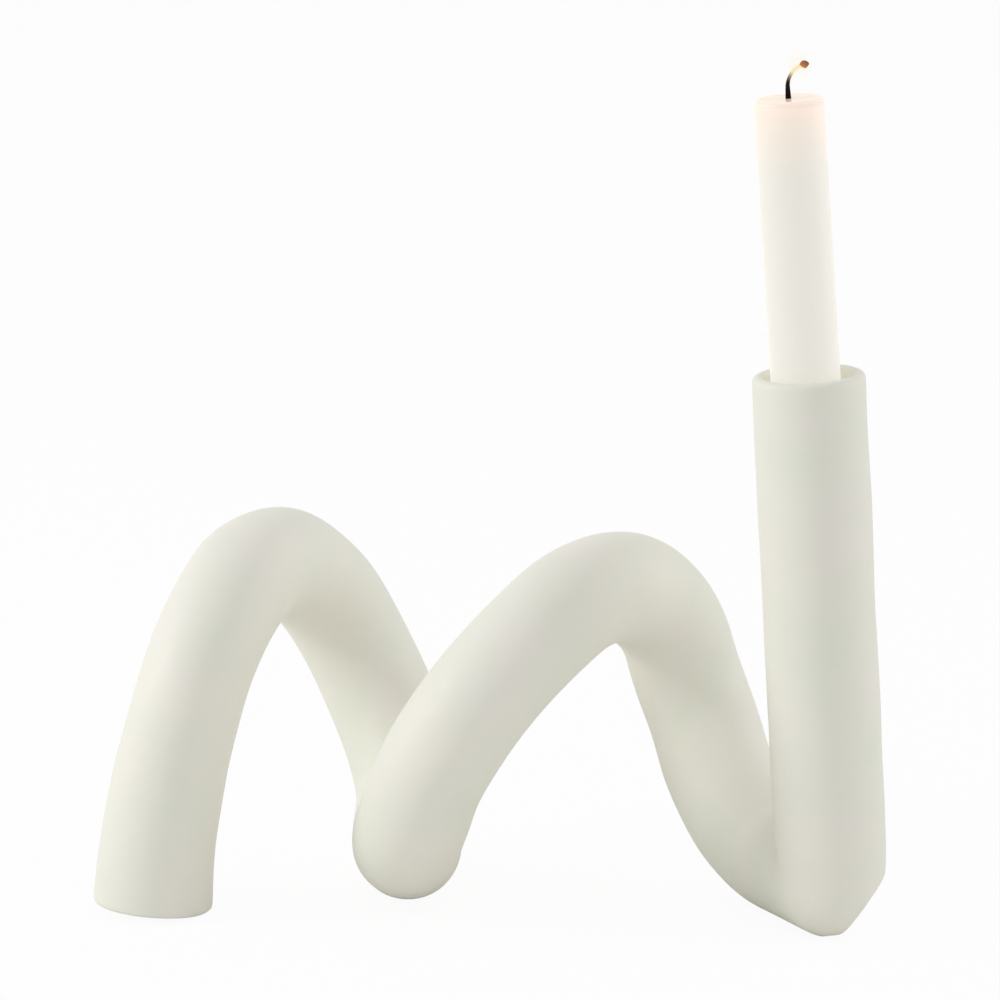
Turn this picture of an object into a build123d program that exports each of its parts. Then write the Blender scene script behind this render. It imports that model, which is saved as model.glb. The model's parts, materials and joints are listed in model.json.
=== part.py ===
"""Spiral candle holder: a stoneware tube wound into an open coil, with a stick candle.

The coil's axis lies along X and the floor is Z = 0. A front leg rises from the cut foot, the
tube then winds one and three quarter turns about the axis, lands on the floor and meets the
upright in a bevelled corner. The upright is a blind socket that holds the candle loosely.
All lengths are millimetres and all angles degrees.
"""
from build123d import *
from math import cos, radians, sin, sqrt, tan
import os

# Tube of the holder
tube_radius = 17.5        # outside radius of the fired tube
wall = 3.3                # thickness of the cast wall

# Leg and foot
foot_flare = 1.4          # the leg's radius grows by this much down to the foot
foot_inset = 1.9          # the foot stands this far in from the coil's left end
foot_lean = 4.5           # the leg's lean to the right where it meets the foot
foot_floor = 5.0          # clay that closes the foot
foot_edge = 1.0           # rounding of the foot's edge
foot_tilt_x = 4.5         # the foot is cut out of level, lower at its right
foot_tilt_y = 3.0         # and lower at its back

# Coil
coil_radius = 43.7        # radius of the winding, at the tube's centre line
coil_length = 214.9       # from the coil's left end to the corner, along its axis
ground_depth = 0.6        # how deep each low point is ground flat
step_angle = 45.0         # the advance is given at each eighth of a turn
advance_shares = (
    0.058, 0.093, 0.115, 0.147, 0.210, 0.290, 0.341,
    0.392, 0.464, 0.565, 0.641, 0.689, 0.728, 0.806,
)

# Flat on the first low turn
low_turn = 6              # eighths of a turn up to its lowest place
flat_depth = 16.0         # the flat lies this far from the tube's centre there
flat_turn = 200.0         # it faces this way round from the X axis, to the left and front
flat_pitch = 44.0         # and this far down from level
flat_reach = 26.0         # half the size of the block that presses it

# Corner
corner_heading = 45.0     # the coil meets the corner at this angle to its own axis
corner_forward = 4.8      # the corner stands this far in front of the coil's axis
landing_run = 30.0        # straight run along the floor before the corner
corner_round = 17.9       # radius that rounds the outside of the mitred corner
bevel_depth = 12.5        # the corner's bevel lies this far from its centre
bevel_turn = 8.0          # the bevel faces this far to the back of the X axis
bevel_pitch = 35.0        # and this far down from level

# Upright and its socket
rim_height = 179.2        # middle of the mouth above the floor
upright_lean_x = 9.2      # how far the mouth leans back over the coil
upright_lean_y = 1.8      # how far the mouth leans to the front
lip_outer_edge = 2.0      # rounding of the lip, outside
lip_inner_edge = 1.2      # rounding of the lip, inside
seat_rise = 4.0           # floor of the socket above the middle of the corner
vent_radius = 2.5         # kiln vent from the coil's hollow into the foot of the socket

# Candle
candle_play = 3.4         # room between the candle and the socket's wall, all round
candle_length = 243.9     # what is left of it, burnt down a little
candle_edge = 0.7         # rounding of both ends
candle_offset_x = -0.9    # where the candle passes the mouth, from the socket's centre line
candle_offset_y = -0.6
candle_lean_x = 4.15      # the candle's lean to the left
candle_lean_y = 0.62      # and to the front
seat_gap = 0.5            # space under the middle of the candle's flat end

# Wick
wick_radius = 0.9
wick_rise = 2.5           # straight wick above the wax
wick_curl = 9.5           # radius of the burnt end's curl to the right
wick_curl_angle = 65.0

overrun = 4.0             # extra length of a cutting solid
corner_block = 45.0       # size of the blocks that shape the corner

bore_radius = tube_radius - wall
candle_radius = bore_radius - candle_play
foot_radius = tube_radius + foot_flare
low_height = tube_radius - ground_depth
seat_height = low_height + seat_rise
coil_height = low_height + coil_radius
half_length = coil_length / 2

corner = Vector(half_length, -corner_forward, low_height)
rim = Vector(half_length - upright_lean_x, -corner_forward - upright_lean_y, rim_height)
upright = (rim - corner).normalized()
heading = Vector(cos(radians(corner_heading)), -sin(radians(corner_heading)), 0)
landing = corner - heading * landing_run
candle_line = Vector(
    -tan(radians(candle_lean_x)), -tan(radians(candle_lean_y)), 1
).normalized()
candle_mouth = rim + Vector(candle_offset_x, candle_offset_y, 0)
candle_depth = (rim_height - seat_height - seat_gap) / candle_line.Z
candle_foot = candle_mouth - candle_line * candle_depth


def station(index):
    """Centre of the tube after some eighths of a turn, counted from the front of the first."""
    turn = radians(index * step_angle)
    along = coil_length * advance_shares[index] - half_length
    return Vector(along, -coil_radius * cos(turn), coil_height + coil_radius * sin(turn))


foot_normal = Vector(tan(radians(foot_tilt_x)), tan(radians(foot_tilt_y)), 1).normalized()
foot_slope = sqrt(1 - foot_normal.Z**2)
foot_height = (foot_radius - foot_edge) * foot_slope + foot_edge * (1 - foot_normal.Z)
foot = Vector(foot_inset - half_length, -coil_radius, foot_height)
foot_way = Vector(sin(radians(foot_lean)), 0, cos(radians(foot_lean)))
leg = TangentArc(foot, station(0), tangent=foot_way)
seat = corner + upright * ((seat_height - low_height) / upright.Z)


def biarc(start, start_way, end, end_way):
    """Two arcs that leave start and reach end in the given directions, and join smoothly."""
    chord = end - start
    ways = start_way + end_way
    turn = 2 * (1 - start_way.dot(end_way))
    along = chord.dot(ways)
    reach = (sqrt(along**2 + turn * chord.dot(chord)) - along) / turn
    first_knee = start + start_way * reach
    second_knee = end - end_way * reach
    middle = (first_knee + second_knee) / 2
    return [
        TangentArc(start, middle, tangent=start_way),
        TangentArc(middle, end, tangent=second_knee - first_knee),
    ]


def coil_arcs():
    """The coil's centre line, a chain of arcs from the top of the leg to the landing."""
    points = [station(index) for index in range(len(advance_shares))] + [landing]
    ways = [leg % 1]
    ways += [(after - before).normalized() for before, after in zip(points, points[2:])]
    ways.append(heading)
    arcs = []
    for index in range(len(points) - 1):
        arcs += biarc(points[index], ways[index], points[index + 1], ways[index + 1])
    return arcs


def along_line(start, way):
    """A plane at a point, whose normal follows the given direction."""
    return Plane(origin=start, z_dir=way)


def rod(radius, start, end):
    """A straight round rod between two points."""
    return Solid.make_cylinder(radius, (end - start).length, along_line(start, end - start))


def make_leg():
    """The bent leg: it widens down to the foot, which is cut a little out of level."""
    bottom = foot - foot_way * foot_radius
    path = Wire([Line(bottom, foot), leg])
    sections = [
        along_line(bottom, foot_way) * Circle(foot_radius),
        along_line(foot, foot_way) * Circle(foot_radius),
        along_line(leg @ 1, leg % 1) * Circle(tube_radius),
    ]
    tube = sweep(sections, path=path, multisection=True)
    body = split(tube, bisect_by=along_line(foot, foot_normal), keep=Keep.TOP)
    cut = body.faces().filter_by(GeomType.PLANE).sort_by(Axis.Z)[0]
    return fillet(cut.edges(), foot_edge)


def beyond_mitre(side):
    """A block on one side of the mitre plane: 1 is the upright's side, -1 the coil's."""
    size = 2 * corner_block
    mitre = along_line(corner, (heading + upright).normalized() * side)
    return mitre * Box(size, size, corner_block, align=(Align.CENTER, Align.CENTER, Align.MIN))


def make_coil():
    """The wound tube with its straight end, cut at the mitre."""
    end = Line(landing, corner + heading * (tube_radius + overrun))
    path = Wire(coil_arcs() + [end])
    tube = sweep(along_line(leg @ 1, leg % 1) * Circle(tube_radius), path=path)
    return tube - beyond_mitre(1)


def make_upright():
    """The straight upright with its rounded lip, cut at the mitre."""
    tube = rod(tube_radius, corner - upright * (tube_radius + overrun), rim)
    tube = fillet(tube.edges().sort_by(Axis.Z)[-1:], lip_outer_edge)
    return tube - beyond_mitre(-1)


def corner_trim():
    """What the rounding takes off the outside of the mitred corner."""
    quarter = Plane(origin=corner, x_dir=heading, z_dir=-upright)
    block = Box(corner_block, 2 * corner_block, corner_block,
                align=(Align.MIN, Align.CENTER, Align.MIN))
    return quarter * block - Pos(corner) * Sphere(corner_round)


def bevel(centre, depth, turn, pitch, reach):
    """What a flat bevel takes off the outside of a bend, below it."""
    turn, pitch = radians(turn), radians(pitch)
    normal = Vector(cos(pitch) * cos(turn), cos(pitch) * sin(turn), -sin(pitch))
    face = along_line(centre + normal * depth, normal)
    align = (Align.CENTER, Align.CENTER, Align.MIN)
    return face * Box(2 * reach, 2 * reach, tube_radius, align=align)


def make_hollow():
    """The cast hollow of the leg and the coil, up to the web beside the socket."""
    inside = leg.trim(foot_floor / leg.length, 1)
    path = Wire([inside] + coil_arcs() + [Line(landing, corner)])
    hollow = sweep(along_line(inside @ 0, inside % 0) * Circle(bore_radius), path=path)
    stop = along_line(corner - heading * tube_radius, heading) * Box(
        corner_block, corner_block, corner_block, align=(Align.CENTER, Align.CENTER, Align.MIN)
    )
    return hollow - stop


def make_body():
    """The fired body: leg, coil and upright in one, hollow, with a blind socket."""
    outside = make_leg() + make_coil() + make_upright() - corner_trim()
    outside -= bevel(corner, bevel_depth, bevel_turn, bevel_pitch, corner_block)
    outside -= bevel(station(low_turn), flat_depth, flat_turn, flat_pitch, flat_reach)
    outside = split(outside, bisect_by=Plane.XY, keep=Keep.TOP)
    socket = rod(bore_radius, seat, rim + upright * overrun)
    level = seat + upright * (2 * vent_radius)
    vent = rod(vent_radius, level - heading * (tube_radius + overrun), level)
    body = outside - make_hollow() - socket - vent
    mouth = body.edges().filter_by(GeomType.CIRCLE).sort_by_distance(rim)
    inner = [edge for edge in mouth if abs(edge.radius - bore_radius) < lip_inner_edge]
    return fillet(inner[:1], lip_inner_edge)


def make_wax():
    """The candle's wax: a plain rod with softened edges and a hole for the wick."""
    top = candle_foot + candle_line * candle_length
    wax = rod(candle_radius, candle_foot, top)
    wax = fillet(wax.edges().filter_by(GeomType.CIRCLE), candle_edge)
    return wax - rod(wick_radius, candle_foot - candle_line * overrun, top + candle_line * overrun)


def make_wick():
    """The wick: straight through the wax, with a burnt tip that curls to the right."""
    top = candle_foot + candle_line * (candle_length + wick_rise)
    side = Vector(0, 1, 0).cross(candle_line).normalized()
    turn = radians(wick_curl_angle)
    tip = top + candle_line * (wick_curl * sin(turn)) + side * (wick_curl * (1 - cos(turn)))
    path = Wire([Line(candle_foot, top), TangentArc(top, tip, tangent=candle_line)])
    return sweep(along_line(candle_foot, candle_line) * Circle(wick_radius), path=path)


if __name__ == "__main__":
    os.makedirs("parts", exist_ok=True)
    export_step(make_body(), "parts/ceramic_body.step")
    export_step(make_wax(), "parts/candle_wax.step")
    export_step(make_wick(), "parts/candle_wick.step")
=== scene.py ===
"""Looks of the spiral candle holder: a matt stoneware tube with a lit stick candle.

Places and sizes are in metres and angles in degrees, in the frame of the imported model. A front
leg rises from the cut foot, the tube winds one and three quarter turns about an axis along X,
lands on the floor and turns up in a rounded corner. The upright is a blind socket, and the
candle leans in it.
"""

import json
import logging
from collections.abc import Callable
from dataclasses import dataclass
from enum import Enum
from math import atan2, ceil, cos, pi, radians, sin, sqrt, tan

import bmesh
import bpy
from bmesh.types import BMVert
from bpy.types import ColorRamp, ID, Material, Node, NodeSocket, NodeTree, Object
from mathutils import Matrix, Vector


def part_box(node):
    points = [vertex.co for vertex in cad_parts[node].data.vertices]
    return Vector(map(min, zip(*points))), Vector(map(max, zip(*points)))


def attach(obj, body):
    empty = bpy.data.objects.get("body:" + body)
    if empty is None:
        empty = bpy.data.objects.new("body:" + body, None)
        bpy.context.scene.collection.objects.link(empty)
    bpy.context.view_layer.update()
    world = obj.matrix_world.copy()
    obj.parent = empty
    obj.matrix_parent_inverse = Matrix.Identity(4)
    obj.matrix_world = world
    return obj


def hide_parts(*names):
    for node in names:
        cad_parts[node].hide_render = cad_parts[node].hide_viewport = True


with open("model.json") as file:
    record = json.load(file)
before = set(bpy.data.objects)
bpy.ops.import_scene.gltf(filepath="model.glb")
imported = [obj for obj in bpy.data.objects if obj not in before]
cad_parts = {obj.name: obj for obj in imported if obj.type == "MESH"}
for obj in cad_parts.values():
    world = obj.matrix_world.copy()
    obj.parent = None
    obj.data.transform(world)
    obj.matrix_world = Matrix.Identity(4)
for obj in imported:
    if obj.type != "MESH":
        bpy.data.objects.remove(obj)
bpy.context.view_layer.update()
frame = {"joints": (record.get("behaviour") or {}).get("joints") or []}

LOG = logging.getLogger("spiral_candle_holder")
MM = 0.001
UP = Vector((0, 0, 1))
Rows = list[tuple[float, float]]           # radii and heights of a round section
Shares = tuple[tuple[float, float], ...]   # shares of a radius and of a depth


class Body(Enum):
    """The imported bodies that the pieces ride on."""

    HOLDER = "holder"
    CANDLE = "candle"


class Slot(Enum):
    """The record's material slots."""

    CLAY = "fired_clay"
    WAX = "candle_wax"
    WICK = "candle_wick"


def linear(code: str, opacity: float = 1.0) -> tuple[float, float, float, float]:
    """Turns an sRGB hex colour to a linear one.

    Args:
        code: The colour, such as "#F0EEE6".
        opacity: Its alpha.

    Returns:
        Linear red, green, blue and alpha.
    """
    shares = [int(code[at:at + 2], 16) / 255 for at in (1, 3, 5)]
    light = [c / 12.92 if c <= 0.04045 else ((c + 0.055) / 1.055) ** 2.4 for c in shares]
    return (*light, opacity)


def add_node(
    tree: NodeTree, kind: str, settings: dict | None = None, links: dict | None = None
) -> Node:
    """Adds a node, with its properties and sockets set and its inputs linked.

    Args:
        tree: The node tree.
        kind: The node's type.
        settings: Properties by name, and input values by socket name or index.
        links: Output sockets, by the input's name or index.

    Returns:
        The new node.
    """
    node = tree.nodes.new(kind)
    for key, value in (settings or {}).items():
        if isinstance(key, str) and hasattr(node, key):
            setattr(node, key, value)
        else:
            node.inputs[key].default_value = value
    for key, source in (links or {}).items():
        tree.links.new(source, node.inputs[key])
    return node


def new_material(name: str) -> tuple[Material, NodeTree]:
    """Makes an empty node material.

    Args:
        name: The finish's name.

    Returns:
        The material and its tree.
    """
    material = bpy.data.materials.new(name)
    material.use_nodes = True
    material.node_tree.nodes.clear()
    return material, material.node_tree


def close_material(tree: NodeTree, shader: NodeSocket) -> None:
    """Links the last shader to the material's output."""
    add_node(tree, "ShaderNodeOutputMaterial", links={"Surface": shader})


def fill_ramp(ramp: ColorRamp, steps: tuple[tuple[float, tuple[float, ...]], ...]) -> None:
    """Gives a new colour ramp its steps.

    Args:
        ramp: The ramp.
        steps: Pairs of a place and a linear colour, the first one at 0.
    """
    ramp.elements.remove(ramp.elements[1])
    ramp.elements[0].color = steps[0][1]
    for start, colour in steps[1:]:
        ramp.elements.new(start).color = colour


@dataclass(frozen=True)
class Relief:
    """Soft bumps raised on a surface."""

    size: float                        # from bump to bump
    height: float
    strength: float = 0.8              # share of the height that shows
    detail: float = 2.0                # octaves of finer bumps

    def build(
        self, tree: NodeTree, place: NodeSocket, under: NodeSocket | None = None
    ) -> NodeSocket:
        """Makes the bumps.

        Args:
            tree: The material's tree.
            place: Object coordinates.
            under: Normal of a broader relief that carries them.

        Returns:
            The normal socket.
        """
        bumps = add_node(
            tree, "ShaderNodeTexNoise", {"Scale": 1 / self.size, "Detail": self.detail},
            {"Vector": place},
        )
        links = {"Height": bumps.outputs["Fac"]}
        if under is not None:
            links["Normal"] = under
        return add_node(
            tree, "ShaderNodeBump", {"Distance": self.height, "Strength": self.strength}, links
        ).outputs[0]


@dataclass(frozen=True)
class Drift:
    """A value that wanders over a surface in soft clouds."""

    size: float                        # from cloud to cloud
    low: float
    high: float
    spread: float = 0.15               # how far from its middle the noise gives low or high
    detail: float = 2.0                # octaves of finer clouds

    def build(self, tree: NodeTree, place: NodeSocket) -> NodeSocket:
        """Makes the clouds.

        Args:
            tree: The material's tree.
            place: Object coordinates.

        Returns:
            The value's socket.
        """
        clouds = add_node(
            tree, "ShaderNodeTexNoise", {"Scale": 1 / self.size, "Detail": self.detail},
            {"Vector": place},
        )
        return add_node(
            tree, "ShaderNodeMapRange",
            {"From Min": 0.5 - self.spread, "From Max": 0.5 + self.spread,
             "To Min": self.low, "To Max": self.high},
            {"Value": clouds.outputs["Fac"]},
        ).outputs[0]


@dataclass(frozen=True)
class StonewareFinish:
    """Cast stoneware under a thin matt glaze, sponged smooth by hand before the firing.

    It gives the eye an off-white, nearly shadowless skin with a faint warm and cool cloud in it,
    a fine sandy tooth, and bare biscuit clay where it stands.
    """

    name: str = "matt_glazed_stoneware"
    glaze_warm: str = "#F0EDE3"
    glaze_cool: str = "#EBECE0"
    biscuit: str = "#DCD2BF"
    speck: str = "#CFC6B4"
    speck_pitch: float = 2.6 * MM
    speck_radius: float = 0.16 * MM
    speck_cover: float = 0.5           # how far a speck hides the glaze
    bare_height: float = 0.25 * MM     # bare clay up to here, and glaze from twice as high
    cloud: Drift = Drift(28 * MM, 0.0, 1.0, detail=3.0)
    dullness: Drift = Drift(5.5 * MM, 0.52, 0.66, spread=0.2)
    tooth: Relief = Relief(0.55 * MM, 0.035 * MM)      # sanding, drawn a little coarser than it is
    sponge: Relief = Relief(5.5 * MM, 0.05 * MM, strength=1.0, detail=1.0)
    ior: float = 1.52

    def build(self) -> Material:
        """Makes the material.

        Returns:
            The stoneware material.
        """
        material, tree = new_material(self.name)
        place = add_node(tree, "ShaderNodeTexCoord").outputs["Object"]
        shader = add_node(
            tree, "ShaderNodeBsdfPrincipled", {"IOR": self.ior},
            {"Base Color": self.glaze_colour(tree, place),
             "Roughness": self.dullness.build(tree, place),
             "Normal": self.tooth.build(tree, place, self.sponge.build(tree, place))},
        )
        close_material(tree, shader.outputs[0])
        return material

    def glaze_colour(self, tree: NodeTree, place: NodeSocket) -> NodeSocket:
        """Mixes the glaze's two tones, its fine specks and the bare clay under the feet.

        Args:
            tree: The material's tree.
            place: Object coordinates.

        Returns:
            The colour socket.
        """
        glaze = add_node(
            tree, "ShaderNodeMix",
            {"data_type": "RGBA", 6: linear(self.glaze_warm), 7: linear(self.glaze_cool)},
            {0: self.cloud.build(tree, place)},
        )
        cells = add_node(
            tree, "ShaderNodeTexVoronoi", {"Scale": 1 / self.speck_pitch}, {"Vector": place}
        )
        size = self.speck_radius / self.speck_pitch
        dots = add_node(
            tree, "ShaderNodeMapRange",
            {"From Min": size / 2, "From Max": size, "To Min": self.speck_cover, "To Max": 0.0},
            {"Value": cells.outputs["Distance"]},
        )
        speckled = add_node(
            tree, "ShaderNodeMix", {"data_type": "RGBA", 7: linear(self.speck)},
            {0: dots.outputs[0], 6: glaze.outputs[2]},
        )
        height = add_node(tree, "ShaderNodeSeparateXYZ", links={"Vector": place})
        bare = add_node(
            tree, "ShaderNodeMapRange",
            {"From Min": self.bare_height, "From Max": 2 * self.bare_height,
             "To Min": 1.0, "To Max": 0.0},
            {"Value": height.outputs["Z"]},
        )
        return add_node(
            tree, "ShaderNodeMix", {"data_type": "RGBA", 7: linear(self.biscuit)},
            {0: bare.outputs[0], 6: speckled.outputs[2]},
        ).outputs[2]


@dataclass(frozen=True)
class WaxFinish:
    """Poured stearin wax. It gives the eye a milky ivory body that light enters and evens out.

    Part of its tone is painted glow, an emission over the whole body that stands in for light
    coming back out of it. Towards the top the glow and the base colour are painted warmer, for the
    flame's light shining into it.
    """

    name: str = "poured_stearin_wax"
    body: str = "#A6A39F"
    # Painted light: the warmer top colour and both glow colours stand in for the flame's light in
    # the wax.
    painted_warm_top: str = "#AC9F98"
    glow: str = "#BEBDB5"
    painted_top_glow: str = "#CEC3B8"
    melted_body: str = "#988B84"       # the melted edge is clearer, so less white
    painted_light_depth: float = 26 * MM
    melt_low: float = 2.4 * MM         # from this far below the top
    melt_high: float = 1.0 * MM        # it is melted all the way from here up
    dullness: Drift = Drift(9 * MM, 0.36, 0.50, detail=4.0)
    grain: Relief = Relief(1.4 * MM, 0.03 * MM, strength=0.6)
    scatter_depth: float = 12.0 * MM
    scatter_radius: tuple[float, float, float] = (1.0, 0.85, 0.7)
    ior: float = 1.44

    def build(self, top: float) -> Material:
        """Makes the material.

        Args:
            top: Height of the candle's top.

        Returns:
            The wax material.
        """
        material, tree = new_material(self.name)
        place = add_node(tree, "ShaderNodeTexCoord").outputs["Object"]
        height = add_node(tree, "ShaderNodeSeparateXYZ", links={"Vector": place})
        # Painted light: towards the top the base colour and the emitted glow turn warmer, for the
        # flame.
        near = add_node(
            tree, "ShaderNodeMapRange",
            {"interpolation_type": "SMOOTHSTEP",
             "From Min": top - self.painted_light_depth, "From Max": top},
            {"Value": height.outputs["Z"]},
        )
        tone, glow = [
            add_node(
                tree, "ShaderNodeMix", {"data_type": "RGBA", 6: linear(plain), 7: linear(lit)},
                {0: near.outputs[0]},
            ).outputs[2]
            for plain, lit in ((self.body, self.painted_warm_top), (self.glow, self.painted_top_glow))
        ]
        melted = add_node(
            tree, "ShaderNodeMapRange",
            {"From Min": top - self.melt_low, "From Max": top - self.melt_high},
            {"Value": height.outputs["Z"]},
        )
        edged = add_node(
            tree, "ShaderNodeMix", {"data_type": "RGBA", 7: linear(self.melted_body)},
            {0: melted.outputs[0], 6: tone},
        )
        # The emission paints a glow over the whole body.
        shader = add_node(
            tree, "ShaderNodeBsdfPrincipled",
            {"IOR": self.ior, "Subsurface Weight": 1.0, "Subsurface Scale": self.scatter_depth,
             "Subsurface Radius": self.scatter_radius, "Emission Strength": 1.0},
            {"Base Color": edged.outputs[2], "Roughness": self.dullness.build(tree, place),
             "Normal": self.grain.build(tree, place), "Emission Color": glow},
        )
        close_material(tree, shader.outputs[0])
        return material


@dataclass(frozen=True)
class MeltFinish:
    """Melted wax about the wick. It gives the eye a wet, clear gloss over warm wax, whose warmth
    is partly painted flame light, under a painted glow.
    """

    name: str = "melted_wax"
    # Painted light: the warm body colour is partly the flame's light painted on, and the glow is
    # painted emission.
    body: str = "#FCE9D2"
    glow: str = "#FFE3C4"
    painted_glow_strength: float = 0.1
    ripple: Relief = Relief(5 * MM, 0.01 * MM, strength=0.5, detail=0.0)
    roughness: float = 0.16
    ior: float = 1.44

    def build(self) -> Material:
        """Makes the material.

        Returns:
            The melted wax material.
        """
        material, tree = new_material(self.name)
        place = add_node(tree, "ShaderNodeTexCoord").outputs["Object"]
        shader = add_node(
            tree, "ShaderNodeBsdfPrincipled",
            {"Base Color": linear(self.body), "Roughness": self.roughness, "IOR": self.ior,
             "Emission Color": linear(self.glow), "Emission Strength": self.painted_glow_strength},
            {"Normal": self.ripple.build(tree, place)},
        )
        close_material(tree, shader.outputs[0])
        return material


@dataclass(frozen=True)
class WickFinish:
    """A braided cotton wick, lit: charred black at the wax, pale above it, an ember at its tip."""

    name: str = "charred_cotton_wick"
    dark: str = "#000000"              # no glow at all, at the wax
    # Painted glow: the char and ash tones are emitted, for the flame's light on the wick; the hot
    # part and the ember glow in the flame.
    char: str = "#1C1714"
    painted_ash_glow: str = "#8A7358"
    hot: str = "#FBE6B8"
    ember: str = "#B85410"
    crust: str = "#7E3A12"
    char_share: float = 0.34
    ash_share: float = 0.46
    hot_share: float = 0.62
    ember_share: float = 0.88
    ember_edge: float = 0.04           # share in which hot turns to ember
    fibre: Relief = Relief(0.25 * MM, 0.06 * MM)
    roughness: float = 0.9

    def build(self, root: Vector, tip: Vector) -> Material:
        """Makes the material.

        Args:
            root: Where the wick leaves the wax.
            tip: Its end.

        Returns:
            The wick material.
        """
        material, tree = new_material(self.name)
        way = (tip - root).normalized()
        place = add_node(tree, "ShaderNodeTexCoord").outputs["Object"]
        along = add_node(
            tree, "ShaderNodeVectorMath", {"operation": "DOT_PRODUCT", 1: tuple(way)}, {0: place}
        )
        share = add_node(
            tree, "ShaderNodeMapRange", {"From Min": root.dot(way), "From Max": tip.dot(way)},
            {"Value": along.outputs["Value"]},
        )
        glow = add_node(tree, "ShaderNodeValToRGB", links={"Fac": share.outputs[0]})
        # The ramp feeds the emission: painted glow along the char and ash, the flame's own glow at
        # the hot part and the ember.
        fill_ramp(glow.color_ramp, (
            (0.0, linear(self.dark)), (self.char_share, linear(self.char)),
            (self.ash_share, linear(self.painted_ash_glow)), (self.hot_share, linear(self.hot)),
            (self.ember_share - self.ember_edge, linear(self.hot)),
            (self.ember_share, linear(self.ember)), (1.0, linear(self.crust)),
        ))
        shader = add_node(
            tree, "ShaderNodeBsdfPrincipled",
            {"Base Color": linear(self.char), "Roughness": self.roughness,
             "Specular IOR Level": 0.0, "Emission Strength": 1.0},
            {"Emission Color": glow.outputs["Color"], "Normal": self.fibre.build(tree, place)},
        )
        close_material(tree, shader.outputs[0])
        return material


@dataclass(frozen=True)
class FlameFinish:
    """A small flame in daylight: clear about the wick, pale yellow above it, lost on white."""

    name: str = "daylight_flame"
    pale: str = "#FFFDF2"
    yellow: str = "#FFEBB4"
    clear_share: float = 0.16
    body_share: float = 0.42
    body_opacity: float = 0.15
    tip_opacity: float = 0.03
    flicker: Drift = Drift(6 * MM, -0.08, 0.08, spread=0.5, detail=0.0)

    def build(self, low: float, high: float) -> Material:
        """Makes the material.

        Args:
            low: Height of the flame's root.
            high: Height of its tip.

        Returns:
            The flame material.
        """
        material, tree = new_material(self.name)
        place = add_node(tree, "ShaderNodeTexCoord").outputs["Object"]
        height = add_node(tree, "ShaderNodeSeparateXYZ", links={"Vector": place})
        share = add_node(
            tree, "ShaderNodeMapRange", {"From Min": low, "From Max": high},
            {"Value": height.outputs["Z"]},
        )
        level = add_node(
            tree, "ShaderNodeMath", {"operation": "ADD"},
            {0: share.outputs[0], 1: self.flicker.build(tree, place)},
        )
        tone = add_node(tree, "ShaderNodeValToRGB", links={"Fac": level.outputs[0]})
        fill_ramp(tone.color_ramp, (
            (0.0, linear(self.pale, 0.0)), (self.clear_share, linear(self.pale, 0.0)),
            (self.body_share, linear(self.yellow, self.body_opacity)),
            (2 * self.body_share, linear(self.pale, self.tip_opacity)),
        ))
        edge = add_node(tree, "ShaderNodeLayerWeight")
        middle = add_node(
            tree, "ShaderNodeMapRange", {"To Min": 1.0, "To Max": 0.0},
            {"Value": edge.outputs["Facing"]},
        )
        body = add_node(
            tree, "ShaderNodeMath", {"operation": "MULTIPLY"},
            {0: tone.outputs["Alpha"], 1: middle.outputs[0]},
        )
        clear = add_node(tree, "ShaderNodeBsdfTransparent")
        light = add_node(
            tree, "ShaderNodeEmission", {"Strength": 1.0}, {"Color": tone.outputs["Color"]}
        )
        mixed = add_node(
            tree, "ShaderNodeMixShader",
            links={0: body.outputs[0], 1: clear.outputs[0], 2: light.outputs[0]},
        )
        close_material(tree, mixed.outputs[0])
        return material


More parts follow.
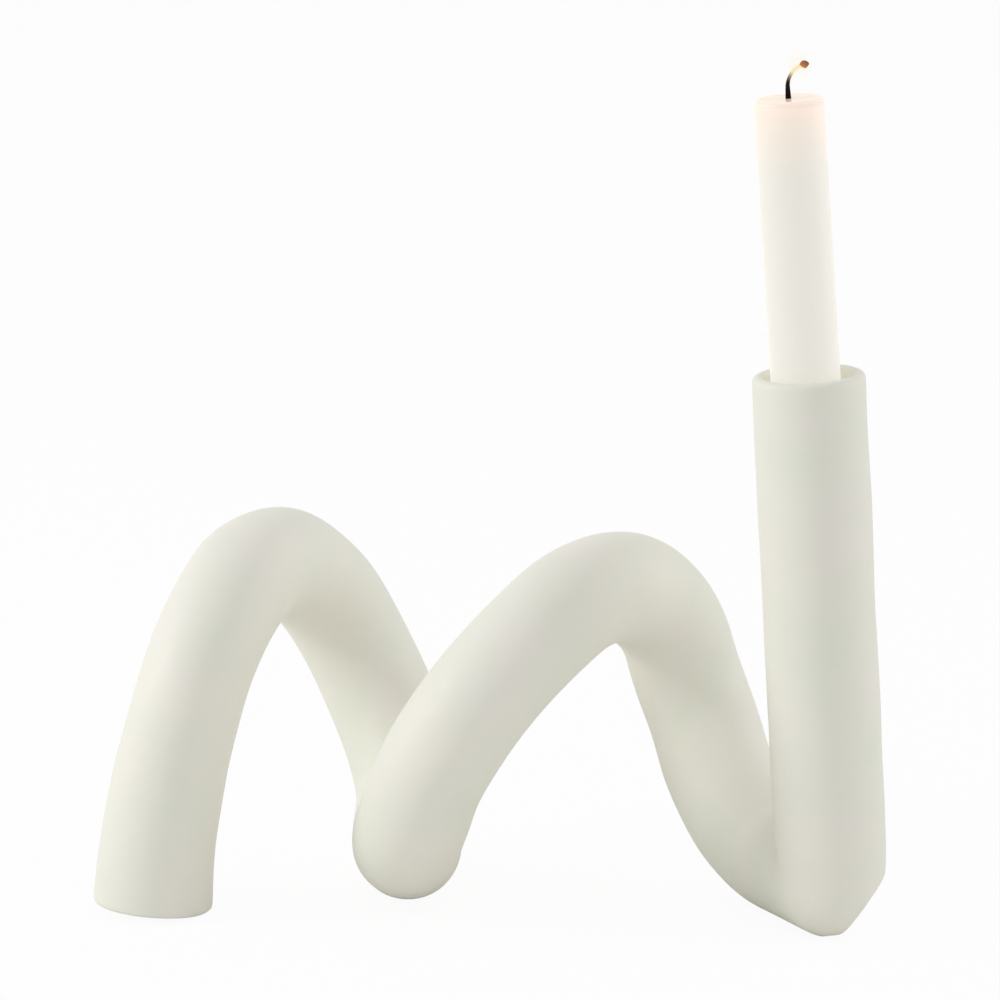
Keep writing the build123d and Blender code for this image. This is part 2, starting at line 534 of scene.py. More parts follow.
class Shaper:
    """Shapes one mesh in edit mode, ring by ring, from a circle."""

    def __init__(
        self, name: str, radius: float, centre: Vector, normal: Vector, toward: Vector, sides: int
    ) -> None:
        """Adds the first ring and opens it in edit mode.

        Args:
            name: The piece's name.
            radius: The ring's radius.
            centre: The ring's centre.
            normal: The ring's axis.
            toward: Direction of one of its points, square to the normal.
            sides: Number of points.
        """
        ways = Matrix((toward, normal.cross(toward), normal)).transposed()
        bpy.ops.object.select_all(action="DESELECT")
        bpy.ops.mesh.primitive_circle_add(
            vertices=sides, radius=radius, location=centre, rotation=ways.to_euler()
        )
        self.piece = bpy.context.object
        self.piece.name = name
        bpy.ops.object.transform_apply(location=True, rotation=True, scale=True)
        self.open()

    def open(self) -> None:
        """Enters edit mode with all selected."""
        bpy.ops.object.mode_set(mode="EDIT")
        bpy.ops.mesh.select_mode(type="VERT")
        bpy.ops.mesh.select_all(action="SELECT")

    def close(self) -> None:
        """Leaves edit mode."""
        bpy.ops.object.mode_set(mode="OBJECT")

    def finish(self, crisp_angle: float) -> Object:
        """Turns all faces outward, leaves edit mode and shades the piece smooth.

        Args:
            crisp_angle: Edges that turn more than this stay sharp.

        Returns:
            The piece.
        """
        bpy.ops.mesh.select_all(action="SELECT")
        bpy.ops.mesh.normals_make_consistent(inside=False)
        self.close()
        bpy.ops.object.shade_smooth_by_angle(angle=radians(crisp_angle))
        return self.piece

    def pick(self, test: Callable[[BMVert], bool]) -> None:
        """Selects the points that pass a test, with what lies between them.

        Args:
            test: Says whether a point is taken.
        """
        mesh = bmesh.from_edit_mesh(self.piece.data)
        for point in mesh.verts:
            point.select = test(point)
        mesh.select_flush_mode()
        bmesh.update_edit_mesh(self.piece.data)

    def push(self, move: Vector) -> None:
        """Extrudes the selected ring by a vector."""
        bpy.ops.mesh.extrude_region_move(TRANSFORM_OT_translate={"value": move})

    def stretch(self, factor: float, along: Vector, centre: Vector) -> None:
        """Scales what is selected along one direction, about a centre.

        Args:
            factor: Zero flattens it.
            along: The direction.
            centre: The place that stays.
        """
        axes = along.to_track_quat("Z", "Y").to_matrix().transposed()
        bpy.ops.transform.resize(
            value=(1, 1, factor), orient_type="GLOBAL", orient_matrix=[list(row) for row in axes],
            orient_matrix_type="GLOBAL", center_override=centre,
        )

    def swell(self, factor: float, centre: Vector) -> None:
        """Scales what is selected about a centre."""
        bpy.ops.transform.resize(value=(factor, factor, factor), center_override=centre)

    def turn(self, centre: Vector, axis: Vector, angle: float, steps: int) -> None:
        """Spins the selected ring about an axis, by the right-hand rule.

        Args:
            centre: A point of the axis.
            axis: The axis.
            angle: The whole angle.
            steps: Number of rings that it makes.
        """
        # With no window, spin and rotate turn the other way.
        bpy.ops.mesh.spin(steps=steps, angle=-angle, center=centre, axis=axis)

    def rotate(self, angle: float, axis: str, centre: Vector) -> None:
        """Turns what is selected about X, Y or Z through a centre, by the right-hand rule."""
        bpy.ops.transform.rotate(value=-angle, orient_axis=axis, center_override=centre)

    def follow(self, rows: Rows, base: Vector, line: Vector) -> None:
        """Extrudes the selected ring along a round section.

        Args:
            rows: The section's radii and heights, the first one the ring's own.
            base: The place whose height is 0.
            line: The section's axis.
        """
        for (radius, height), (next_radius, next_height) in zip(rows, rows[1:]):
            self.push(line * (next_height - height))
            if next_radius != radius:
                self.swell(next_radius / radius, base + line * next_height)

    def smooth(self, repeat: int, factor: float = 0.5) -> None:
        """Smooths the selected points, each time by a share of the way."""
        bpy.ops.mesh.vertices_smooth(factor=factor, repeat=repeat)

    def modify(self, kind: str, **settings: object) -> None:
        """Adds a modifier and applies it, out of edit mode.

        Args:
            kind: The modifier's type.
            settings: Its properties.
        """
        modifier = self.piece.modifiers.new(kind.lower(), kind)
        for key, value in settings.items():
            setattr(modifier, key, value)
        bpy.ops.object.modifier_apply(modifier=modifier.name)

    def weigh(self, name: str, share: Callable[[Vector], float]) -> str:
        """Makes a vertex group from a share at each place, out of edit mode.

        Args:
            name: The group's name.
            share: Gives the share, from 0 to 1.

        Returns:
            The group's name.
        """
        group = self.piece.vertex_groups.new(name=name)
        for point in self.piece.data.vertices:
            group.add([point.index], share(point.co), "REPLACE")
        return group.name


def finish_piece(
    piece: Object, material: Material, body: Body,
    node: str | None = None,
) -> None:
    """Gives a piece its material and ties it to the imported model.

    Args:
        piece: The finished object.
        material: Its material.
        body: The body that it rides on.
        node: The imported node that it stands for.
    """
    piece.data.materials.append(material)
    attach(piece, body.value)
    if node:
        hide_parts(node)
    LOG.info("%s: %d faces, rides on %s", piece.name, len(piece.data.polygons), body.value)


@dataclass(frozen=True)
class Arc:
    """A circular arc in space, from a start and its direction to an end."""

    start: Vector
    way: Vector
    end: Vector

    @property
    def rise(self) -> Vector:
        """Direction from the start to the arc's centre."""
        chord = self.end - self.start
        return (chord - self.way * chord.dot(self.way)).normalized()

    @property
    def radius(self) -> float:
        """The arc's radius."""
        chord = self.end - self.start
        return chord.length_squared / (2 * chord.dot(self.rise))

    @property
    def centre(self) -> Vector:
        """The arc's centre."""
        return self.start + self.rise * self.radius

    @property
    def axis(self) -> Vector:
        """The axis that the arc turns about."""
        return self.way.cross(self.rise)

    @property
    def angle(self) -> float:
        """How far the arc turns."""
        chord = self.end - self.start
        return 2 * atan2(chord.dot(self.rise), chord.dot(self.way))

    @property
    def length(self) -> float:
        """Length along the arc."""
        return self.radius * self.angle

    @property
    def end_way(self) -> Vector:
        """Direction at the end."""
        return self.way * cos(self.angle) + self.rise * sin(self.angle)


def biarc(start: Vector, start_way: Vector, end: Vector, end_way: Vector) -> list[Arc]:
    """Joins two places by two arcs that meet smoothly.

    Args:
        start: First place.
        start_way: Direction there.
        end: Last place.
        end_way: Direction there.

    Returns:
        The two arcs.
    """
    chord = end - start
    ways = start_way + end_way
    turn = 2 * (1 - start_way.dot(end_way))
    along = chord.dot(ways)
    reach = (sqrt(along**2 + turn * chord.length_squared) - along) / turn
    middle = (start + start_way * reach + end - end_way * reach) / 2
    first = Arc(start, start_way, middle)
    return [first, Arc(middle, first.end_way, end)]


def edge_rows(
    radius: float, height: float, edge: float, first: float, last: float, steps: int
) -> Rows:
    """A section's rounded edge, without its first point.

    Args:
        radius: Radius at which the rounding's centre lies.
        height: Height of that centre.
        edge: The rounding's own radius.
        first: Angle at which it starts, up from the outward direction.
        last: Angle at which it ends.
        steps: Number of points.

    Returns:
        The points.
    """
    turns = [radians(first + (last - first) * step / steps) for step in range(1, steps + 1)]
    return [(radius + edge * cos(turn), height + edge * sin(turn)) for turn in turns]


def wall_rows(radius: float, first: float, last: float, longest: float) -> Rows:
    """A section's straight wall, without its first point.

    Args:
        radius: The wall's radius.
        first: Height at which it starts.
        last: Height at which it ends.
        longest: Longest way from point to point.

    Returns:
        The points.
    """
    steps = ceil(abs(last - first) / longest)
    return [(radius, first + (last - first) * step / steps) for step in range(1, steps + 1)]


def share_rows(radius: float, top: float, depth: float, shares: Shares) -> Rows:
    """A section from shares of a radius and of a depth below its top."""
    return [(radius * across, top - depth * down) for across, down in shares]


@dataclass(frozen=True)
class Flat:
    """A flat pressed into the outside of a bend, below it."""

    depth: float                       # from the bend's middle
    turn: float                        # the way round from the X axis that it faces
    pitch: float                       # how far down from level it faces
    softness: float                    # how far in from it its edge is softened

    @property
    def normal(self) -> Vector:
        """The way that it faces."""
        turn, pitch = radians(self.turn), radians(self.pitch)
        return Vector((cos(pitch) * cos(turn), cos(pitch) * sin(turn), -sin(pitch)))


@dataclass
class CeramicHolder:
    """The fired body: leg, coil and upright in one skin, with its socket."""

    tube_radius: float = 17.5 * MM
    bore_radius: float = 14.2 * MM
    foot_flare: float = 1.4 * MM
    foot_inset: float = 1.9 * MM
    foot_lean: float = 4.5
    foot_edge: float = 1.0 * MM
    foot_tilt_x: float = 4.5
    foot_tilt_y: float = 3.0
    coil_radius: float = 43.7 * MM
    coil_length: float = 214.9 * MM
    ground_depth: float = 0.6 * MM
    step_angle: float = 45.0
    advance_shares: tuple[float, ...] = (
        0.058, 0.093, 0.115, 0.147, 0.210, 0.290, 0.341,
        0.392, 0.464, 0.565, 0.641, 0.689, 0.728, 0.806,
    )
    low_turn: int = 6                  # eighths of a turn up to the first low place
    low_flat: Flat = Flat(16.0 * MM, 200.0, 44.0, 1.2 * MM)
    corner_heading: float = 45.0
    corner_forward: float = 4.8 * MM
    corner_round: float = 17.7 * MM
    corner_flat: Flat = Flat(12.5 * MM, 8.0, 35.0, 4.2 * MM)
    flat_smoothing: int = 10
    bend_reach: float = 28.0 * MM      # what is worked on of a bend, from its middle
    elbow_run: float = 30.0 * MM       # straight run of both tubes beside the corner
    elbow_rings: int = 18
    crease_share: float = 0.25         # the crease starts this share of the tube's radius inward
    crease_softness: float = 6.0 * MM
    crease_smoothing: int = 40
    rim_height: float = 179.2 * MM
    upright_lean_x: float = 9.2 * MM
    upright_lean_y: float = 1.8 * MM
    lip_outer_edge: float = 2.0 * MM
    lip_inner_edge: float = 1.2 * MM
    seat_rise: float = 4.0 * MM
    seat_fillet: float = 1.5 * MM
    seat_shares: tuple[float, ...] = (0.6, 0.3, 0.05)   # rings on the socket's floor
    sides: int = 64
    ring_step: float = 2.2 * MM
    crisp_angle: float = 50.0          # edges that turn more stay sharp
    hand_size: float = 34.0 * MM       # spread of the unevenness left by the hand
    hand_depth: float = 0.9 * MM       # its full height, of which about half is used
    lip_margin: float = 0.2            # share of the tube's radius that stays even at the lip
    overrun: float = 1.5 * MM

    def __post_init__(self) -> None:
        """Works out the places that the sizes give."""
        low = self.tube_radius - self.ground_depth
        half = self.coil_length / 2
        self.coil_height = low + self.coil_radius
        self.corner = Vector((half, -self.corner_forward, low))
        self.rim = Vector((
            half - self.upright_lean_x, -self.corner_forward - self.upright_lean_y, self.rim_height
        ))
        self.upright = (self.rim - self.corner).normalized()
        turn = radians(self.corner_heading)
        self.heading = Vector((cos(turn), -sin(turn), 0))
        self.mitre = (self.heading + self.upright).normalized()
        self.inner = (self.upright - self.heading).normalized()
        self.near = self.ring_step / self.elbow_rings      # a point this near a ring is on it
        self.landing = self.corner - self.heading * self.elbow_run
        self.seat = self.corner + self.upright * (self.seat_rise / self.upright.z)
        tilt_x, tilt_y = tan(radians(self.foot_tilt_x)), tan(radians(self.foot_tilt_y))
        self.foot_normal = Vector((tilt_x, tilt_y, 1)).normalized()
        slope = sqrt(1 - self.foot_normal.z**2)
        radius = self.tube_radius + self.foot_flare
        height = (radius - self.foot_edge) * slope + self.foot_edge * (1 - self.foot_normal.z)
        self.foot = Vector((self.foot_inset - half, -self.coil_radius, height))
        lean = radians(self.foot_lean)
        self.foot_way = Vector((sin(lean), 0, cos(lean)))
        self.leg = Arc(self.foot, self.foot_way, self.station(0))

    def station(self, index: int) -> Vector:
        """Centre of the tube after some eighths of a turn.

        Args:
            index: Eighths of a turn, from the front of the first one.

        Returns:
            The place.
        """
        turn = radians(index * self.step_angle)
        along = self.coil_length * self.advance_shares[index] - self.coil_length / 2
        height = self.coil_height + self.coil_radius * sin(turn)
        return Vector((along, -self.coil_radius * cos(turn), height))

    def coil_arcs(self) -> list[Arc]:
        """The coil's centre line, from the top of the leg to the landing.

        Returns:
            Arcs that join smoothly.
        """
        points = [self.station(index) for index in range(len(self.advance_shares))]
        points.append(self.landing)
        ways = [self.leg.end_way]
        ways += [(after - before).normalized() for before, after in zip(points, points[2:])]
        ways.append(self.heading)
        arcs = []
        for index in range(len(points) - 1):
            arcs += biarc(points[index], ways[index], points[index + 1], ways[index + 1])
        return arcs

    def start_elbow(self) -> Shaper:
        """Lays the mitre's oval and grows the elbow from it, to a round ring at each end.

        Returns:
            The shaper, with the coil's end ring selected last.
        """
        side = self.heading.cross(self.upright).normalized()
        shaper = Shaper(
            "ceramic_holder", self.tube_radius, self.corner, self.mitre, side, self.sides
        )
        half_bend = self.heading.angle(self.upright) / 2
        shaper.stretch(1 / cos(half_bend), self.inner, self.corner)
        self.grow_elbow(shaper, self.upright)
        shaper.pick(lambda point: abs((point.co - self.corner).dot(self.mitre)) < self.near)
        self.grow_elbow(shaper, -self.heading)
        return shaper

    def grow_elbow(self, shaper: Shaper, way: Vector) -> None:
        """Extrudes the oval along one tube, and squares it a little more at each ring.

        Args:
            shaper: Holds the selected oval.
            way: The tube's direction, away from the corner.
        """
        for ring in range(1, self.elbow_rings + 1):
            left = self.elbow_rings - ring
            shaper.push(way * (self.elbow_run / self.elbow_rings))
            centre = self.corner + way * (self.elbow_run * ring / self.elbow_rings)
            shaper.stretch(left / (left + 1), way, centre)

    def wind_coil(self, shaper: Shaper) -> None:
        """Runs the tube back from the elbow along the coil to the top of the leg.

        Args:
            shaper: Holds the elbow, with its end ring selected.
        """
        for arc in reversed(self.coil_arcs()):
            shaper.turn(arc.centre, arc.axis, -arc.angle, ceil(arc.length / self.ring_step))

    def lower_leg(self, shaper: Shaper) -> None:
        """Bends the leg down to its flared foot, cuts it out of level and softens the edge.

        Args:
            shaper: Holds the tube, with the coil's last ring selected.
        """
        steps = ceil(self.leg.length / self.ring_step)
        radius = self.tube_radius
        for step in range(1, steps):
            shaper.turn(self.leg.centre, self.leg.axis, -self.leg.angle / steps, 1)
            share = 1 - step / steps
            spoke = (self.leg.start - self.leg.centre) * cos(self.leg.angle * share)
            spoke += self.leg.way * (self.leg.radius * sin(self.leg.angle * share))
            grown = self.tube_radius + self.foot_flare * step / steps
            shaper.swell(grown / radius, self.leg.centre + spoke)
            radius = grown
        shaper.push(-self.foot_way * (self.foot.z + self.overrun + self.ring_step))
        bpy.ops.mesh.select_all(action="SELECT")
        bpy.ops.mesh.bisect(
            plane_co=self.foot, plane_no=self.foot_normal, use_fill=True, clear_inner=True
        )
        bpy.ops.mesh.region_to_loop()
        bpy.ops.mesh.bevel(offset=self.foot_edge, segments=3, affect="EDGES")

    def outline(self) -> Rows:
        """The upright's section, from the elbow over the lip to the socket's floor.

        Returns:
            Radii, and heights along the upright from the corner's centre.
        """
        top = (self.rim - self.corner).length
        floor = (self.seat - self.corner).length
        outer, inner, fillet = self.lip_outer_edge, self.lip_inner_edge, self.seat_fillet
        bore, step = self.bore_radius, self.ring_step
        return [
            (self.tube_radius, self.elbow_run),
            *wall_rows(self.tube_radius, self.elbow_run, top - outer, step),
            *edge_rows(self.tube_radius - outer, top - outer, outer, 0, 90, steps=5),
            (bore + inner, top),
            *edge_rows(bore + inner, top - inner, inner, 90, 180, steps=4),
            *wall_rows(bore, top - inner, floor + fillet, 2 * step),
            *edge_rows(bore - fillet, floor + fillet, fillet, 0, -90, steps=3),
            *[(bore * share, floor) for share in self.seat_shares],
        ]

    def turn_upright(self, shaper: Shaper) -> None:
        """Extrudes the upright's ring along its section and closes the socket's floor.

        Args:
            shaper: Holds the tube.
        """
        base = self.corner + self.upright * self.elbow_run
        shaper.pick(lambda point: abs((point.co - base).dot(self.upright)) < self.near
                    and (point.co - base).length < 2 * self.tube_radius)
        shaper.follow(self.outline(), self.corner, self.upright)
        bpy.ops.mesh.merge(type="CENTER")

    def round_corner(self, shaper: Shaper) -> None:
        """Rounds the outside of the mitre to a ball.

        Args:
            shaper: Holds the body, out of edit mode.
        """
        marker = bpy.data.objects.new("corner_marker", None)
        bpy.context.scene.collection.objects.link(marker)
        marker.location = self.corner
        bpy.context.view_layer.update()

        def outside(place: Vector) -> float:
            """One for a place beyond both tubes' square ends and out of the ball."""
            spoke = place - self.corner
            return float(spoke.dot(self.heading) > 0 > spoke.dot(self.upright)
                         and spoke.length > self.corner_round)

        group = shaper.weigh("outer_corner", outside)
        shaper.modify(
            "CAST", cast_type="SPHERE", object=marker, factor=1.0, use_radius_as_size=False,
            size=self.corner_round, vertex_group=group,
        )
        bpy.data.objects.remove(marker)

    def soften_crease(self, shaper: Shaper) -> None:
        """Softens the crease inside the elbow.

        Args:
            shaper: Holds the body.
        """
        start = self.crease_share * self.tube_radius

        def in_crease(point: BMVert) -> bool:
            """True near the inner half of the mitre."""
            spoke = point.co - self.corner
            return (spoke.length < self.elbow_run and spoke.dot(self.inner) > start
                    and abs(spoke.dot(self.mitre)) < self.crease_softness)

        shaper.pick(in_crease)
        shaper.smooth(self.crease_smoothing)

    def press_flat(self, shaper: Shaper, centre: Vector, flat: Flat) -> None:
        """Presses the outside of a bend flat below, and softens the flat's edge.

        Args:
            shaper: Holds the body.
            centre: Middle of the bend.
            flat: The flat.
        """
        normal = flat.normal
        face = centre + normal * flat.depth

        def pick_beyond(inset: float) -> None:
            """Selects the bend's points that lie further out than an inset from the flat."""
            shaper.pick(lambda point: (point.co - centre).length < self.bend_reach
                        and (point.co - face).dot(normal) > -inset)

        shaper.pick(lambda point: (point.co - centre).length < self.bend_reach)
        bpy.ops.mesh.bisect(plane_co=face, plane_no=normal)
        pick_beyond(0.0)
        shaper.stretch(0, normal, face)
        pick_beyond(flat.softness)
        shaper.smooth(self.flat_smoothing)

    def hand_share(self, place: Vector) -> float:
        """How much of the hand's unevenness a place has: none at the lip and in the socket.

        Args:
            place: The place.

        Returns:
            The share, from 0 to 1.
        """
        spoke = place - self.corner
        along = spoke.dot(self.upright)
        away = (spoke - self.upright * along).length
        if along > 0 and away < (self.tube_radius + self.bore_radius) / 2:
            return 0.0
        below = (self.rim - self.corner).length - along
        return min(1.0, max(0.0, below / self.tube_radius - self.lip_margin))

    def work_by_hand(self, shaper: Shaper) -> None:
        """Leaves the slight unevenness of a hand-finished tube.

        Args:
            shaper: Holds the body, out of edit mode.
        """
        pattern = bpy.data.textures.new("hand_pressure", type="CLOUDS")
        pattern.noise_scale = self.hand_size
        pattern.noise_depth = 1
        group = shaper.weigh("outer_skin", self.hand_share)
        shaper.modify(
            "DISPLACE", texture=pattern, texture_coords="LOCAL", strength=self.hand_depth,
            mid_level=0.5, vertex_group=group,
        )

    def grind_feet(self, shaper: Shaper) -> None:
        """Grinds the low points flat on the floor.

        Args:
            shaper: Holds the body, with all selected.
        """
        floor = Vector((0, 0, 0))
        bpy.ops.mesh.bisect(plane_co=floor, plane_no=UP)
        shaper.pick(lambda point: point.co.z < 0)
        shaper.stretch(0, UP, floor)

    def build(self) -> Object:
        """Makes the fired body.

        Returns:
            The finished object.
        """
        shaper = self.start_elbow()
        self.wind_coil(shaper)
        self.lower_leg(shaper)
        self.turn_upright(shaper)
        shaper.close()
        self.round_corner(shaper)
        shaper.open()
        self.soften_crease(shaper)
        self.press_flat(shaper, self.corner, self.corner_flat)
        self.press_flat(shaper, self.station(self.low_turn), self.low_flat)
        shaper.close()
        self.work_by_hand(shaper)
        shaper.open()
        self.grind_feet(shaper)
        return shaper.finish(self.crisp_angle)

    def make(self) -> None:
        """Builds and glazes the body, and ties it to its node."""
        stoneware = StonewareFinish().build()
        finish_piece(self.build(), stoneware, Body.HOLDER, "ceramic_body")


@dataclass
class Candle:
    """The stick candle with its melt pool, wick and flame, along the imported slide's axis."""

    radius: float = 10.8 * MM
    length: float = 243.9 * MM
    foot_edge: float = 0.7 * MM
    rim_edge: float = 1.3 * MM
    ring_step: float = 5.05 * MM
    sides: int = 64
    crisp_angle: float = 40.0          # edges that turn more stay sharp
    dish_depth: float = 0.5 * MM
    dish: Shares = (                   # shares of the rim's radius and of the dish's depth
        (0.95, 0.1), (0.91, 0.35), (0.87, 0.65), (0.83, 0.9), (0.79, 1.0), (0.4, 1.0), (0.03, 1.0),
    )
    pool_radius: float = 8.35 * MM
    pool_level: float = 0.3 * MM       # below the candle's top
    pool_thickness: float = 0.15 * MM
    pool: Shares = (                   # shares of its radius and thickness, from its underside up
        (0.96, 1.0), (1.0, 0.4), (0.97, 0.1), (0.85, 0.0), (0.4, 0.15), (0.054, 0.2),
    )
    wick_radius: float = 0.9 * MM
    wick_rise: float = 3.2 * MM
    wick_curl: float = 7.0 * MM
    wick_curl_angle: float = 90.0      # past the solid's, for the ember's bead
    wick_sides: int = 18
    wick_strands: int = 3
    wick_step: float = 0.35 * MM
    wick_lay: float = 5.0 * MM         # one turn of the strands
    wick_crisp_angle: float = 60.0
    strand_groove: float = 0.74
    wick_waist: float = 0.62           # the charred wick narrows to this share
    waist_share: float = 0.4           # from this share of its bare length on
    bead_share: float = 0.8            # the ember's bead starts here
    bead_swell: float = 0.9
    bead_taper: float = 0.6            # what the strands under the bead lose up to the tip
    flame_width: float = 7.0 * MM
    flame_height: float = 17.5 * MM
    flame_lift: float = 1.6 * MM
    flame_aside: float = 4.0 * MM
    flame_rings: int = 24
    flame_belly: float = 0.62          # below 1, so that its widest place is low
    flame_fullness: float = 0.9        # below 1, so that it is fuller than a sine
    flame_root: float = 0.05 * MM      # radius of its first ring
    flame_point: float = 0.04 * MM     # least radius of the others

    def __post_init__(self) -> None:
        """Reads the candle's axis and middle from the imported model."""
        low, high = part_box("candle_wax")
        self.line = Vector(frame["joints"][0]["axis"]).normalized()
        self.foot = (low + high) / 2 - self.line * (self.length / 2)
        self.top = self.foot + self.line * self.length
        self.side = Vector((0, 1, 0)).cross(self.line).normalized()
        turn = radians(self.wick_curl_angle)
        self.tip = self.top + self.line * (self.wick_rise + self.wick_curl * sin(turn))
        self.tip += self.side * (self.wick_curl * (1 - cos(turn)))

    def lathe(self, name: str, rows: Rows, aside: float = 0.0) -> Object:
        """Extrudes a round shape along the candle's line, closed at both ends.

        Args:
            name: The piece's name.
            rows: Its section's radii, and heights above the candle's foot.
            aside: How far to the right its axis stands.

        Returns:
            The object.
        """
        base = self.foot + self.side * aside
        radius, height = rows[0]
        shaper = Shaper(name, radius, base + self.line * height, self.line, self.side, self.sides)
        bpy.ops.mesh.edge_face_add()
        shaper.follow(rows, base, self.line)
        return shaper.finish(self.crisp_angle)

    def build_wax(self) -> Object:
        """Makes the wax with its softened, slightly sunken top.

        Returns:
            The object.
        """
        edge, shoulder = self.foot_edge, self.length - self.rim_edge
        rim = self.radius - self.rim_edge
        return self.lathe("stick_candle", [
            (self.radius - edge, 0.0),
            *edge_rows(self.radius - edge, edge, edge, -90, 0, steps=3),
            *wall_rows(self.radius, edge, shoulder, self.ring_step),
            *edge_rows(rim, shoulder, self.rim_edge, 0, 90, steps=5),
            *share_rows(rim, self.length, self.dish_depth, self.dish),
        ])

    def build_pool(self) -> Object:
        """Makes the shallow pool of melted wax in the dish.

        Returns:
            The object.
        """
        level = self.length - self.pool_level
        rows = share_rows(self.pool_radius, level, self.pool_thickness, self.pool)
        return self.lathe("melt_pool", rows)

    def build_wick(self) -> Object:
        """Makes the twisted wick: straight through the wax and curled to the right above it.

        Returns:
            The object.
        """
        bare = self.wick_rise + self.wick_curl * radians(self.wick_curl_angle)
        shaper = Shaper("cotton_wick", self.wick_radius, Vector(), UP, Vector((1, 0, 0)),
                        self.wick_sides)
        spacing = self.wick_sides // self.wick_strands
        shaper.pick(lambda point: point.index % spacing == 0)
        shaper.swell(self.strand_groove, Vector())
        bpy.ops.mesh.select_all(action="SELECT")
        bpy.ops.mesh.edge_face_add()
        sunk = self.length - self.wick_lay
        shaper.push(UP * sunk)
        steps = round((self.wick_lay + bare) / self.wick_step)
        rise = (self.wick_lay + bare) / steps
        twist = 2 * pi * rise / self.wick_lay
        girth = 1.0
        for step in range(1, steps + 1):
            shaper.push(UP * rise)
            centre = UP * (sunk + rise * step)
            shaper.rotate(twist, "Z", centre)
            next_girth = self.wick_girth((rise * step - self.wick_lay) / bare)
            shaper.swell(next_girth / girth, centre)
            girth = next_girth
        self.curl(shaper, sunk + self.wick_lay + self.wick_rise, rise)
        piece = shaper.finish(self.wick_crisp_angle)
        ways = Matrix((self.side, self.line.cross(self.side), self.line)).transposed()
        piece.rotation_euler = ways.to_euler()
        piece.location = self.foot
        bpy.ops.object.transform_apply(location=True, rotation=True, scale=True)
        return piece

    def wick_girth(self, share: float) -> float:
        """How thick the wick is, narrow above the char and beaded at its tip.

        Args:
            share: Share of the bare length, below 0 in the wax.

        Returns:
            Its share of the full radius.
        """
        narrow = 1 - (1 - self.wick_waist) * min(1.0, max(0.0, share / self.waist_share))
        bead = max(0.0, share - self.bead_share) / (1 - self.bead_share)
        swell = self.bead_swell * sin(pi * min(1.0, bead))
        return narrow * (1 - bead * bead * self.bead_taper) + swell

    def curl(self, shaper: Shaper, start: float, rise: float) -> None:
        """Bends the straight wick, ring by ring, from a height upward.

        Args:
            shaper: Holds the wick, straight up from the origin.
            start: Height at which the bend begins.
            rise: Height from ring to ring.
        """
        mesh = bmesh.from_edit_mesh(shaper.piece.data)
        heights = {point.index: point.co.z for point in mesh.verts}
        rings = round(self.wick_curl * radians(self.wick_curl_angle) / rise)
        step = radians(self.wick_curl_angle) / rings
        pivot = UP * start
        for ring in range(rings):
            low = start + rise * (ring + 0.5)
            shaper.pick(lambda point: heights[point.index] > low)
            shaper.rotate(step, "Y", pivot)
            lean = step * (ring + 1)
            pivot = pivot + Vector((sin(lean), 0, cos(lean))) * rise

    def build_flame(self) -> Object:
        """Makes the small daylight flame about the wick.

        Returns:
            The object.
        """
        start = self.length + self.flame_lift
        rows = [(self.flame_root, start)]
        for step in range(1, self.flame_rings + 1):
            share = step / self.flame_rings
            width = self.flame_width / 2 * sin(pi * share**self.flame_belly) ** self.flame_fullness
            rows.append((max(self.flame_point, width), start + self.flame_height * share))
        return self.lathe("candle_flame", rows, self.flame_aside)

    def make(self) -> None:
        """Builds and dresses the candle's pieces."""
        wax = WaxFinish().build(self.top.z)
        finish_piece(self.build_wax(), wax, Body.CANDLE, "candle_wax")
        finish_piece(self.build_pool(), MeltFinish().build(), Body.CANDLE)
        wick = WickFinish().build(self.top, self.tip)
        finish_piece(self.build_wick(), wick, Body.CANDLE, "candle_wick")
        root = self.top.z + self.flame_lift
        flame = FlameFinish().build(root, root + self.flame_height)
        finish_piece(self.build_flame(), flame, Body.CANDLE)


@dataclass(frozen=True)
class Lamp:
    """A soft square lamp that faces the object."""

    name: str
    power: float                       # in watts
    size: float                        # side of the square
    right: float                       # its direction: shares to the camera's right,
    back: float                        # away from the camera
    up: float                          # and upward
    reach: float                       # its distance from the object


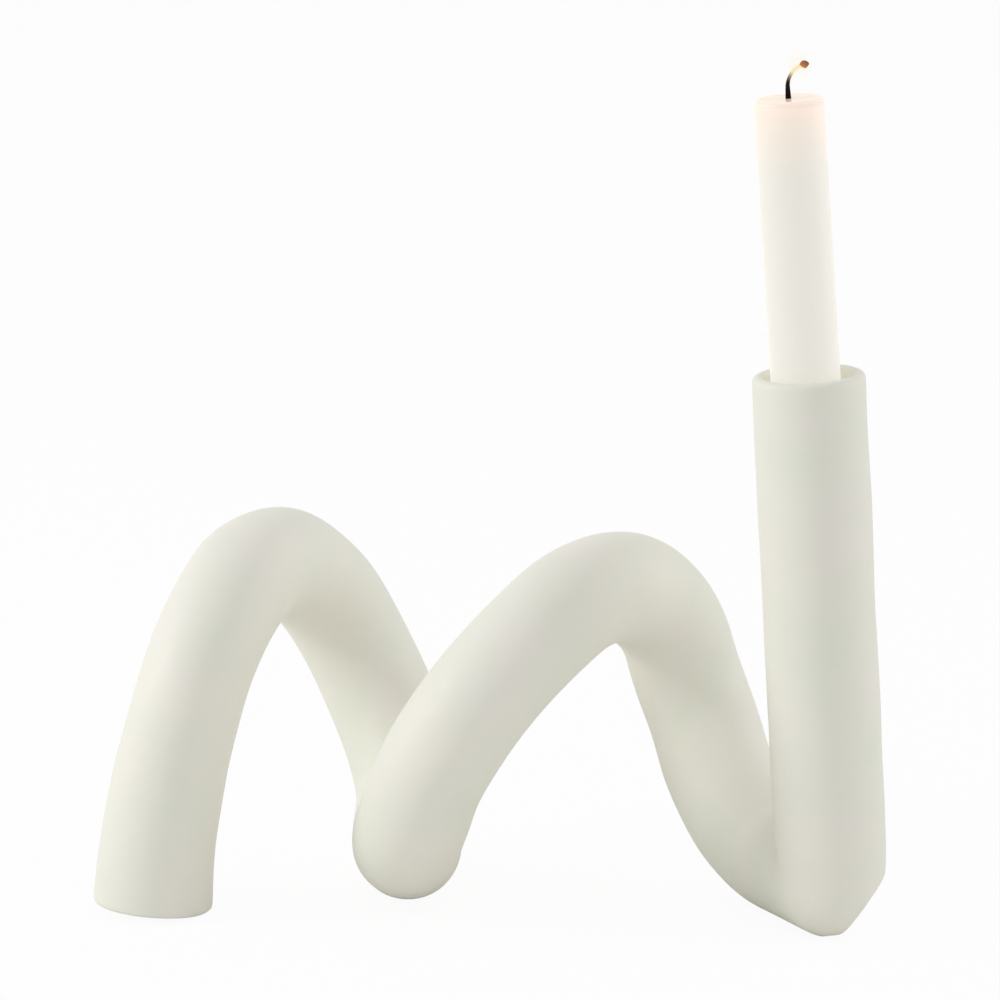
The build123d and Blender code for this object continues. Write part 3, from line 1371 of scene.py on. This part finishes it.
@dataclass
class Studio:
    """The pale floor, the soft lights and the camera."""

    target: Vector = Vector((-3.1 * MM, 0, 130.95 * MM))
    distance: float = 1.7
    azimuth: float = 17.41
    elevation: float = 12.98
    lens: float = 193.9
    floor_size: float = 12.0
    floor_drop: float = 0.1 * MM
    floor_colour: str = "#F5F5F2"
    floor_glow: float = 0.94
    ambient: float = 0.68
    lamps: tuple[Lamp, ...] = (
        Lamp("key_lamp", 7.0, 0.4, -0.96, -0.1, 0.42, 1.5),
        Lamp("fill_lamp", 4.5, 1.2, 1.0, 0.2, 0.3, 1.6),
    )
    fill_size: float = 1.2

    def direction(self, right: float, back: float, up: float) -> Vector:
        """A direction seen from the camera's side.

        Args:
            right: Share to the camera's right.
            back: Share away from the camera.
            up: Share upward.

        Returns:
            The unit vector.
        """
        turn = radians(self.azimuth)
        right_way = Vector((cos(turn), sin(turn), 0))
        back_way = Vector((-sin(turn), cos(turn), 0))
        return (right_way * right + back_way * back + UP * up).normalized()

    def aim(self, data: ID, away: Vector, distance: float) -> Object:
        """Stands a camera or a lamp off the object and turns it to face it.

        Args:
            data: The camera's or the lamp's data.
            away: Direction from the object to it.
            distance: Its distance.

        Returns:
            The new object.
        """
        item = bpy.data.objects.new(data.name, data)
        bpy.context.scene.collection.objects.link(item)
        item.location = self.target + away * distance
        item.rotation_euler = (-away).to_track_quat("-Z", "Y").to_euler()
        return item

    def place_camera(self) -> None:
        """Sets the camera at the photograph's viewing angle."""
        data = bpy.data.cameras.new("camera")
        data.lens = self.lens
        tilt = radians(self.elevation)
        away = self.direction(0, -cos(tilt), sin(tilt))
        bpy.context.scene.camera = self.aim(data, away, self.distance)

    def add_lamp(self, lamp: Lamp) -> None:
        """Adds one of the lamps.

        Args:
            lamp: The lamp's settings.
        """
        data = bpy.data.lights.new(lamp.name, "AREA")
        data.energy = lamp.power
        data.size = lamp.size
        self.aim(data, self.direction(lamp.right, lamp.back, lamp.up), lamp.reach)

    def light_world(self) -> None:
        """Fills the room with soft light, and shows plain white behind the object."""
        world = bpy.data.worlds.new("studio")
        world.use_nodes = True
        bpy.context.scene.world = world
        tree = world.node_tree
        tree.nodes.clear()
        rays = add_node(tree, "ShaderNodeLightPath").outputs
        shown = rays["Is Camera Ray"]
        for kind in ("Is Glossy Ray", "Is Transmission Ray"):
            shown = add_node(
                tree, "ShaderNodeMath", {"operation": "MAXIMUM"}, {0: shown, 1: rays[kind]}
            ).outputs[0]
        soft, white = [
            add_node(tree, "ShaderNodeBackground", {"Color": (1, 1, 1, 1), "Strength": strength})
            for strength in (self.ambient, 1.0)
        ]
        mixed = add_node(
            tree, "ShaderNodeMixShader", links={0: shown, 1: soft.outputs[0], 2: white.outputs[0]}
        )
        add_node(tree, "ShaderNodeOutputWorld", links={"Surface": mixed.outputs[0]})

    def floor_material(self) -> Material:
        """Makes the floor white to the camera, with the object's shadow, and clear from below.

        Returns:
            The material.
        """
        material, tree = new_material("studio_floor")
        rays = add_node(tree, "ShaderNodeLightPath")
        share = add_node(
            tree, "ShaderNodeMath", {"operation": "MULTIPLY", 1: self.floor_glow},
            {0: rays.outputs["Is Camera Ray"]},
        )
        plain = add_node(tree, "ShaderNodeBsdfDiffuse", {"Color": linear(self.floor_colour)})
        white = add_node(tree, "ShaderNodeEmission", {"Color": (1, 1, 1, 1), "Strength": 1.0})
        lit = add_node(
            tree, "ShaderNodeMixShader",
            links={0: share.outputs[0], 1: plain.outputs[0], 2: white.outputs[0]},
        )
        clear = add_node(tree, "ShaderNodeBsdfTransparent")
        facing = add_node(tree, "ShaderNodeNewGeometry")
        mixed = add_node(
            tree, "ShaderNodeMixShader",
            links={0: facing.outputs["Backfacing"], 1: lit.outputs[0], 2: clear.outputs[0]},
        )
        close_material(tree, mixed.outputs[0])
        return material

    def lay_floor(self) -> None:
        """Lays the pale floor just under the object."""
        bpy.ops.object.select_all(action="DESELECT")
        bpy.ops.mesh.primitive_plane_add(size=self.floor_size, location=(0, 0, -self.floor_drop))
        floor = bpy.context.object
        floor.name = "studio_floor"
        floor.data.materials.append(self.floor_material())

    def build(self) -> None:
        """Sets up the whole studio."""
        self.place_camera()
        self.light_world()
        self.lay_floor()
        for lamp in self.lamps:
            self.add_lamp(lamp)
        bpy.context.scene.view_settings.view_transform = "Standard"


def main() -> None:
    """Builds the studio, the holder and the candle."""
    logging.basicConfig(level=logging.INFO, format="%(name)s: %(message)s")
    Studio().build()
    CeramicHolder().make()
    Candle().make()


if __name__ == "__main__":
    main()
